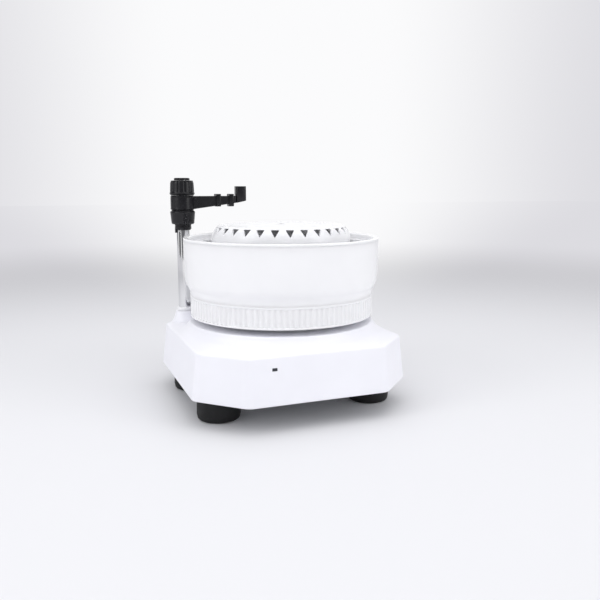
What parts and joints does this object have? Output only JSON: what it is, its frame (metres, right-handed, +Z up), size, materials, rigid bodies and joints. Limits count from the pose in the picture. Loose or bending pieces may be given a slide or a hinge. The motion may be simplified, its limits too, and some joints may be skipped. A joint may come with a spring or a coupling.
{
  "type": "fraction collector",
  "caption": "Benchtop fraction collector: a motor-driven round bowl of sample tubes on an octagonal base, with a clamped swing arm on a polished column.",
  "frame": {"origin": "on the bench under the middle of the octagonal base", "axes": "+X to the right along the front face, +Y from the front to the back, +Z up; the column stands at the rear left"},
  "size_m": [0.245, 0.26, 0.2537],
  "materials": {
    "housing": "satin",
    "bowl_white": "gloss",
    "inner_white": "satin",
    "black_plastic": "satin",
    "cap_black": "gloss",
    "foot_rubber": "matte",
    "column_steel": "polished",
    "screw_steel": "satin",
    "plate_steel": "satin",
    "aluminium": "satin",
    "brass": "satin",
    "board_green": "satin",
    "gear_natural": "satin",
    "lens_dark": "gloss",
    "motor_black": "satin"
  },
  "bodies": {
    "base": {"base_shell": "housing", "base_plate": "plate_steel", "plate_screws": "screw_steel", "foot_front_left": "foot_rubber", "foot_front_right": "foot_rubber", "foot_rear_left": "foot_rubber", "foot_rear_right": "foot_rubber", "foot_screws": "screw_steel", "foot_nuts": "screw_steel", "rear_panel": "black_plastic", "panel_screws": "screw_steel", "power_socket": "black_plastic", "signal_socket": "black_plastic", "socket_nuts": "screw_steel", "status_lens": "lens_dark", "lamp_board": "board_green", "control_board": "board_green", "board_spacers": "brass", "board_screws": "screw_steel", "chassis_plate": "aluminium", "chassis_screws": "screw_steel", "bearing_housing": "aluminium", "housing_screws": "screw_steel", "upper_bearing": "screw_steel", "lower_bearing": "screw_steel", "stepper_motor": "motor_black", "motor_screws": "screw_steel", "home_sensor": "black_plastic", "column_tube": "column_steel", "column_bush": "inner_white", "column_nut": "screw_steel", "collar": "black_plastic"},
    "turntable": {"spindle": "screw_steel", "retaining_ring": "screw_steel", "index_disc": "black_plastic", "drive_gear": "gear_natural", "spindle_spacer": "aluminium", "platter": "inner_white", "drive_pegs": "screw_steel", "spindle_screw": "screw_steel"},
    "motor_rotor": {"motor_shaft": "screw_steel", "motor_pinion": "gear_natural"},
    "bowl_assembly": {"bowl": "bowl_white", "grip_ring": "bowl_white", "rim_ring": "bowl_white", "tube_support": "inner_white", "tube_guide": "inner_white", "crown": "bowl_white", "centre_post": "aluminium", "crown_screw": "screw_steel"},
    "height_clamp": {"height_knob": "black_plastic"},
    "rod": {"inner_rod": "column_steel", "rod_collar": "black_plastic", "rod_glide": "inner_white", "friction_washer": "black_plastic", "end_cap": "cap_black"},
    "arm": {"swing_arm": "black_plastic", "tubing_clips": "cap_black", "tubing_holder": "black_plastic"},
    "swing_clamp": {"swing_knob": "black_plastic"}
  },
  "joints": [
    {"name": "turntable_spin", "type": "hinge", "parent": "base", "child": "turntable", "pos_m": [0.003, -0.004, 0.095], "axis": [0, 0, 1], "continuous": true},
    {"name": "motor_spin", "type": "hinge", "parent": "base", "child": "motor_rotor", "pos_m": [0.05715, -0.004, 0.074], "axis": [0, 0, 1], "continuous": true},
    {"name": "bowl_lift", "type": "slide", "parent": "turntable", "child": "bowl_assembly", "axis": [0, 0, 1], "range_m": [0, 0.012]},
    {"name": "height_clamp_turn", "type": "hinge", "parent": "base", "child": "height_clamp", "pos_m": [-0.09201, 0.08306, 0.205], "axis": [0, 0, 1], "range_deg": [0, 120]},
    {"name": "arm_height", "type": "slide", "parent": "base", "child": "rod", "axis": [0, 0, 1], "range_m": [0, 0.067]},
    {"name": "arm_swing", "type": "hinge", "parent": "rod", "child": "arm", "pos_m": [-0.09201, 0.08306, 0.224], "axis": [0, 0, 1], "range_deg": [-60, 100]},
    {"name": "swing_clamp_turn", "type": "hinge", "parent": "rod", "child": "swing_clamp", "pos_m": [-0.09201, 0.08306, 0.241], "axis": [0, 0, 1], "range_deg": [0, 180]}
  ],
  "couplings": [
    {"joint": "motor_spin", "follows": "turntable_spin", "ratio": -5}
  ]
}
